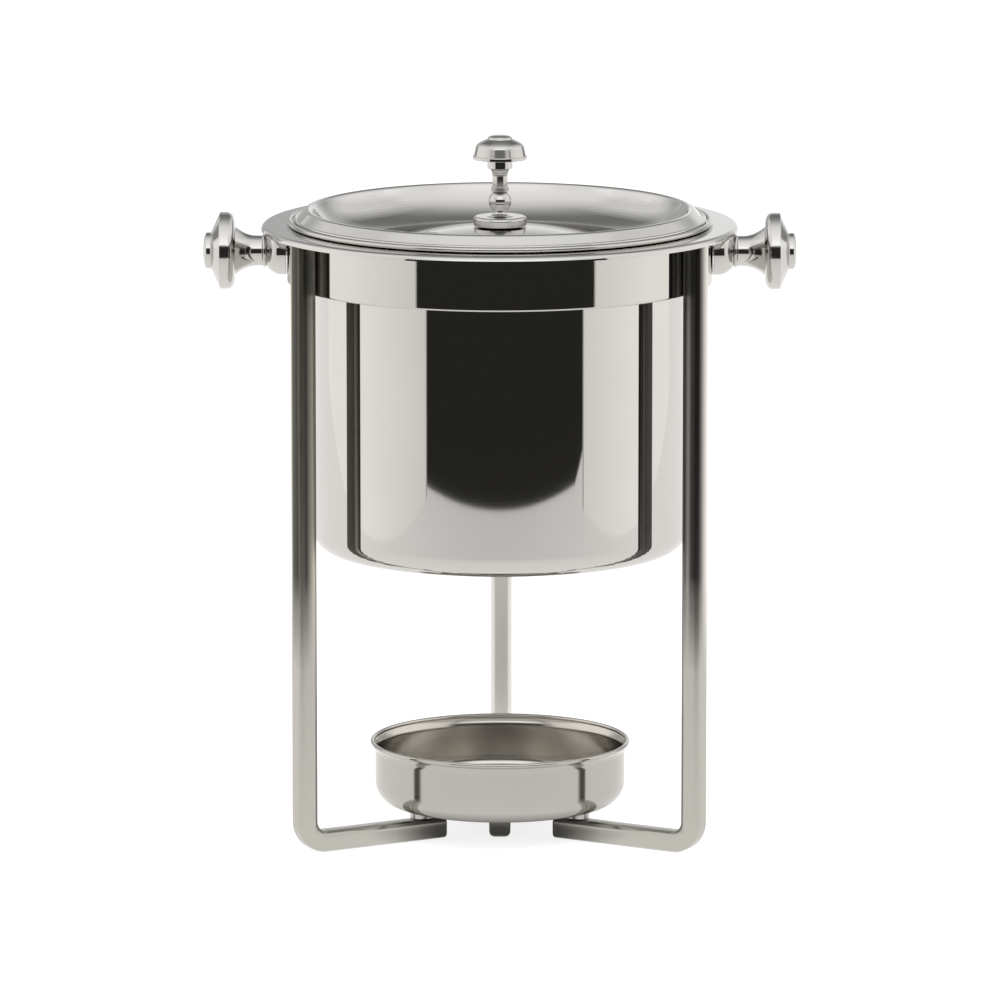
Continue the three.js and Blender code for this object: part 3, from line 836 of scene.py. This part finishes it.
for name, (bearing, foot_end) in foot_ends.items():
    bpy.ops.object.select_all(action="DESELECT")
    bpy.ops.mesh.primitive_plane_add(
        size=bar_width, location=(foot_end, 0, bar_width / 2), rotation=(0, math.pi / 2, 0),
    )
    leg = bpy.context.object
    leg.name = name + "_polished"
    bpy.ops.object.transform_apply()
    bpy.ops.object.mode_set(mode="EDIT")
    bpy.ops.mesh.bevel(offset=bar_edge, offset_type="OFFSET", segments=8, affect="VERTICES")
    bpy.ops.mesh.extrude_region_move(TRANSFORM_OT_translate={"value": (bend_start - foot_end, 0, 0)})
    bpy.ops.mesh.spin(
        steps=24, angle=math.pi / 2, center=(bend_start, 0, bend_height), axis=(0, 1, 0),
    )
    bpy.ops.mesh.extrude_region_move(TRANSFORM_OT_translate={"value": (0, 0, leg_top - bend_height)})
    bpy.ops.mesh.select_all(action="SELECT")
    bpy.ops.mesh.remove_doubles(threshold=1e-6)
    bpy.ops.mesh.normals_make_consistent(inside=False)
    bpy.ops.object.mode_set(mode="OBJECT")
    edged(leg, bar_end_round, 4, 60)
    moved(leg, turn=(0, 0, math.radians(bearing)))
    leg_steel = drawn_steel(
        name + "_steel", foot_colour, leg_painted_reflections[name], math.radians(bearing),
        leg_line_size, leg_line_depth,
    )
    finished(leg, leg_steel, "leg_steel", "stand", name)

# The fuel cup. A shallow cup pressed from steel sheet, with a flared, beaded rim. It is satin inside
# and brighter outside, and stands on three spacers over the feet.
cup_low, cup_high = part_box("fuel_cup")
cup_sheet = 0.0012
cup_radius = 0.075
cup_flare = 0.003
cup_corner = 0.013
cup_flare_arc = 0.007
cup_flare_lean = math.radians(50)
cup_bead = 0.0013
cup_rim_level = cup_high.z - cup_bead * (1 + math.sin(cup_flare_lean))
cup_lip = cup_radius + cup_flare - cup_bead * (1 - math.cos(cup_flare_lean))
cup_arc_centre = (
    cup_lip + cup_flare_arc * math.cos(cup_flare_lean),
    cup_rim_level - cup_flare_arc * math.sin(cup_flare_lean),
)
cup_face = [
    (0, cup_low.z),
    *arc((cup_radius - cup_corner, cup_low.z + cup_corner), cup_corner, -90, 0, 16),
    *arc(cup_arc_centre, cup_flare_arc, 180, 180 - math.degrees(cup_flare_lean), 10),
]
cup_steel = turned_steel(
    "cup_steel", (0.5, 0.49, 0.465), roughness=0.1, line_size=0.0006, line_depth=6e-7,
)
fuel_cup = turned("fuel_cup_satin", sheet_outline(cup_face, cup_sheet, cup_bead))
finished(fuel_cup, cup_steel, "cup_steel", "stand", "fuel_cup")
cup_inside_steel = turned_steel(
    "cup_inside_steel", (0.6, 0.58, 0.54), roughness=0.17, line_size=0.0006, line_depth=8e-7,
)
fuel_cup.data.materials.append(cup_inside_steel)
for face in fuel_cup.data.polygons:
    faces_axis = face.normal.x * face.center.x + face.normal.y * face.center.y < 0
    faces_up = face.normal.z > 0.5
    if faces_axis or faces_up:
        face.material_index = 1


# The cup's fixings. On each foot bar a short turned spacer carries the cup, and a pan-head screw goes
# down through cup, spacer and bar.
def copied(pattern, name):
    """A copy of a piece, with its own mesh."""
    copy = pattern.copy()
    copy.data = pattern.data.copy()
    copy.name = name
    bpy.context.collection.objects.link(copy)
    return copy


spacer_low, spacer_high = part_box("cup_spacer_back")
spacer_bore = 0.0028
spacer_radius = 0.0051
bolt_low, bolt_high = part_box("cup_screw_back")
bolt_radius = 0.0025
bolt_head = (0.0046, 0.0026)
bolt_seat = bolt_high.z - bolt_head[1]
spacer = washer("cup_spacer", spacer_bore, spacer_radius, spacer_high.z - spacer_low.z)
bolt = screw("cup_screw", bolt_radius, bolt_seat - bolt_low.z, *bolt_head)
for name, (bearing, foot_end) in foot_ends.items():
    side = name.replace("leg_", "")
    across = cup_screw_circle * math.cos(math.radians(bearing))
    along = cup_screw_circle * math.sin(math.radians(bearing))
    for pattern, level, node in ((spacer, spacer_low.z, "cup_spacer_"), (bolt, bolt_seat, "cup_screw_")):
        piece = moved(copied(pattern, node + side + "_polished"), (across, along, level))
        finished(piece, screw_steel, "screw_steel", "stand", node + side)
bpy.data.objects.remove(spacer)
bpy.data.objects.remove(bolt)

# The handles. On each side a rosette, a turned knob with a neck, a bell, a wide disc and a boss, and
# inside the ring a washer and the screw that holds them.
handle_sides = 128
handle_level = sum(corner.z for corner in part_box("handle_knob_right")) / 2
handle_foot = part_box("handle_rosette_right")[0].x
handle_bore = 0.0033
rosette_radius = 0.0144
rosette_edge = 0.003
rosette_nose = 0.01
rosette_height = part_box("handle_rosette_right")[1].x - handle_foot
rosette_outline = [
    (handle_bore, 0),
    (rosette_radius, 0),
    (rosette_radius, rosette_edge),
    *curve((rosette_radius, rosette_edge), (rosette_radius, (rosette_edge + rosette_height) / 2),
           (rosette_nose, rosette_height), 14),
    (handle_bore, rosette_height),
]
handle_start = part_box("handle_knob_right")[0].x - handle_foot
handle_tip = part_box("handle_knob_right")[1].x - handle_foot
neck_radius = 0.009
bead_radius = 0.0099
bead_pull = 2 * bead_radius - neck_radius
bell_radius = 0.0144
disc_radius = 0.0229
handle_boss = 0.0108
bead_length = 0.0028
neck_length = 0.003
bell_length = 0.013
disc_back = 0.0049
disc_rim = 0.0042
disc_front = 0.0054
neck_foot = handle_start + bead_length
bell_foot = neck_foot + neck_length
bell_top = bell_foot + bell_length
edge_foot = bell_top + disc_back
face_foot = edge_foot + disc_rim
boss_start = face_foot + disc_front
boss_middle = (boss_start + handle_tip) / 2
screw_room = 0.026
handle_outline = [
    (0, screw_room),
    (handle_bore, screw_room),
    (handle_bore, handle_start),
    (neck_radius, handle_start),
    *curve((neck_radius, handle_start), (bead_pull, (handle_start + neck_foot) / 2),
           (neck_radius, neck_foot), 8),
    (neck_radius, bell_foot),
    *curve((neck_radius, bell_foot), (neck_radius, (bell_foot + bell_top) / 2),
           (bell_radius, bell_top), 16),
    *curve((bell_radius, bell_top), (disc_radius, bell_top), (disc_radius, edge_foot), 14),
    (disc_radius, face_foot),
    (handle_boss, boss_start),
    (handle_boss, boss_middle),
    *curve((handle_boss, boss_middle), (handle_boss, handle_tip), (0, handle_tip), 14),
]
inner_screw_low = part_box("handle_screw_right")[0].x - handle_foot
inner_screw_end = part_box("handle_screw_right")[1].x - handle_foot
washer_start, washer_end = (corner.x - handle_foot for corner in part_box("handle_washer_right"))
handle_washer_radius = 0.0066
handle_screw_radius = 0.003
handle_screw_head = (0.0054, 0.0034)
screw_seat = inner_screw_low + handle_screw_head[1]
handle_break = 0.0003
handle_steel = turned_steel(
    "handle_steel", (0.62, 0.61, 0.595), roughness=0.1, line_size=0.0005, line_depth=8e-7,
    axis="X", centre=(0, 0, handle_level),
)
rosette = edged(turned("handle_rosette", rosette_outline, handle_sides), handle_break)
knob = edged(turned("handle_knob", handle_outline, handle_sides), handle_break)
ring = washer("handle_washer", handle_bore, handle_washer_radius, washer_end - washer_start)
moved(ring, (0, 0, washer_start))
bolt = screw("handle_screw", handle_screw_radius, inner_screw_end - screw_seat, *handle_screw_head)
moved(bolt, (0, 0, screw_seat), (math.pi, 0, 0))
handle_pieces = (
    (rosette, handle_steel, "knob_steel", "handle_rosette_"),
    (knob, handle_steel, "knob_steel", "handle_knob_"),
    (ring, screw_steel, "screw_steel", "handle_washer_"),
    (bolt, screw_steel, "screw_steel", "handle_screw_"),
)
for pattern, steel, slot, node in handle_pieces:
    for side, lean in (("left", -math.pi / 2), ("right", math.pi / 2)):
        foot = (math.copysign(handle_foot, lean), 0, handle_level)
        piece = moved(copied(pattern, node + side + "_polished"), foot, (0, lean, 0))
        finished(piece, steel, slot, "stand", node + side)
    bpy.data.objects.remove(pattern)
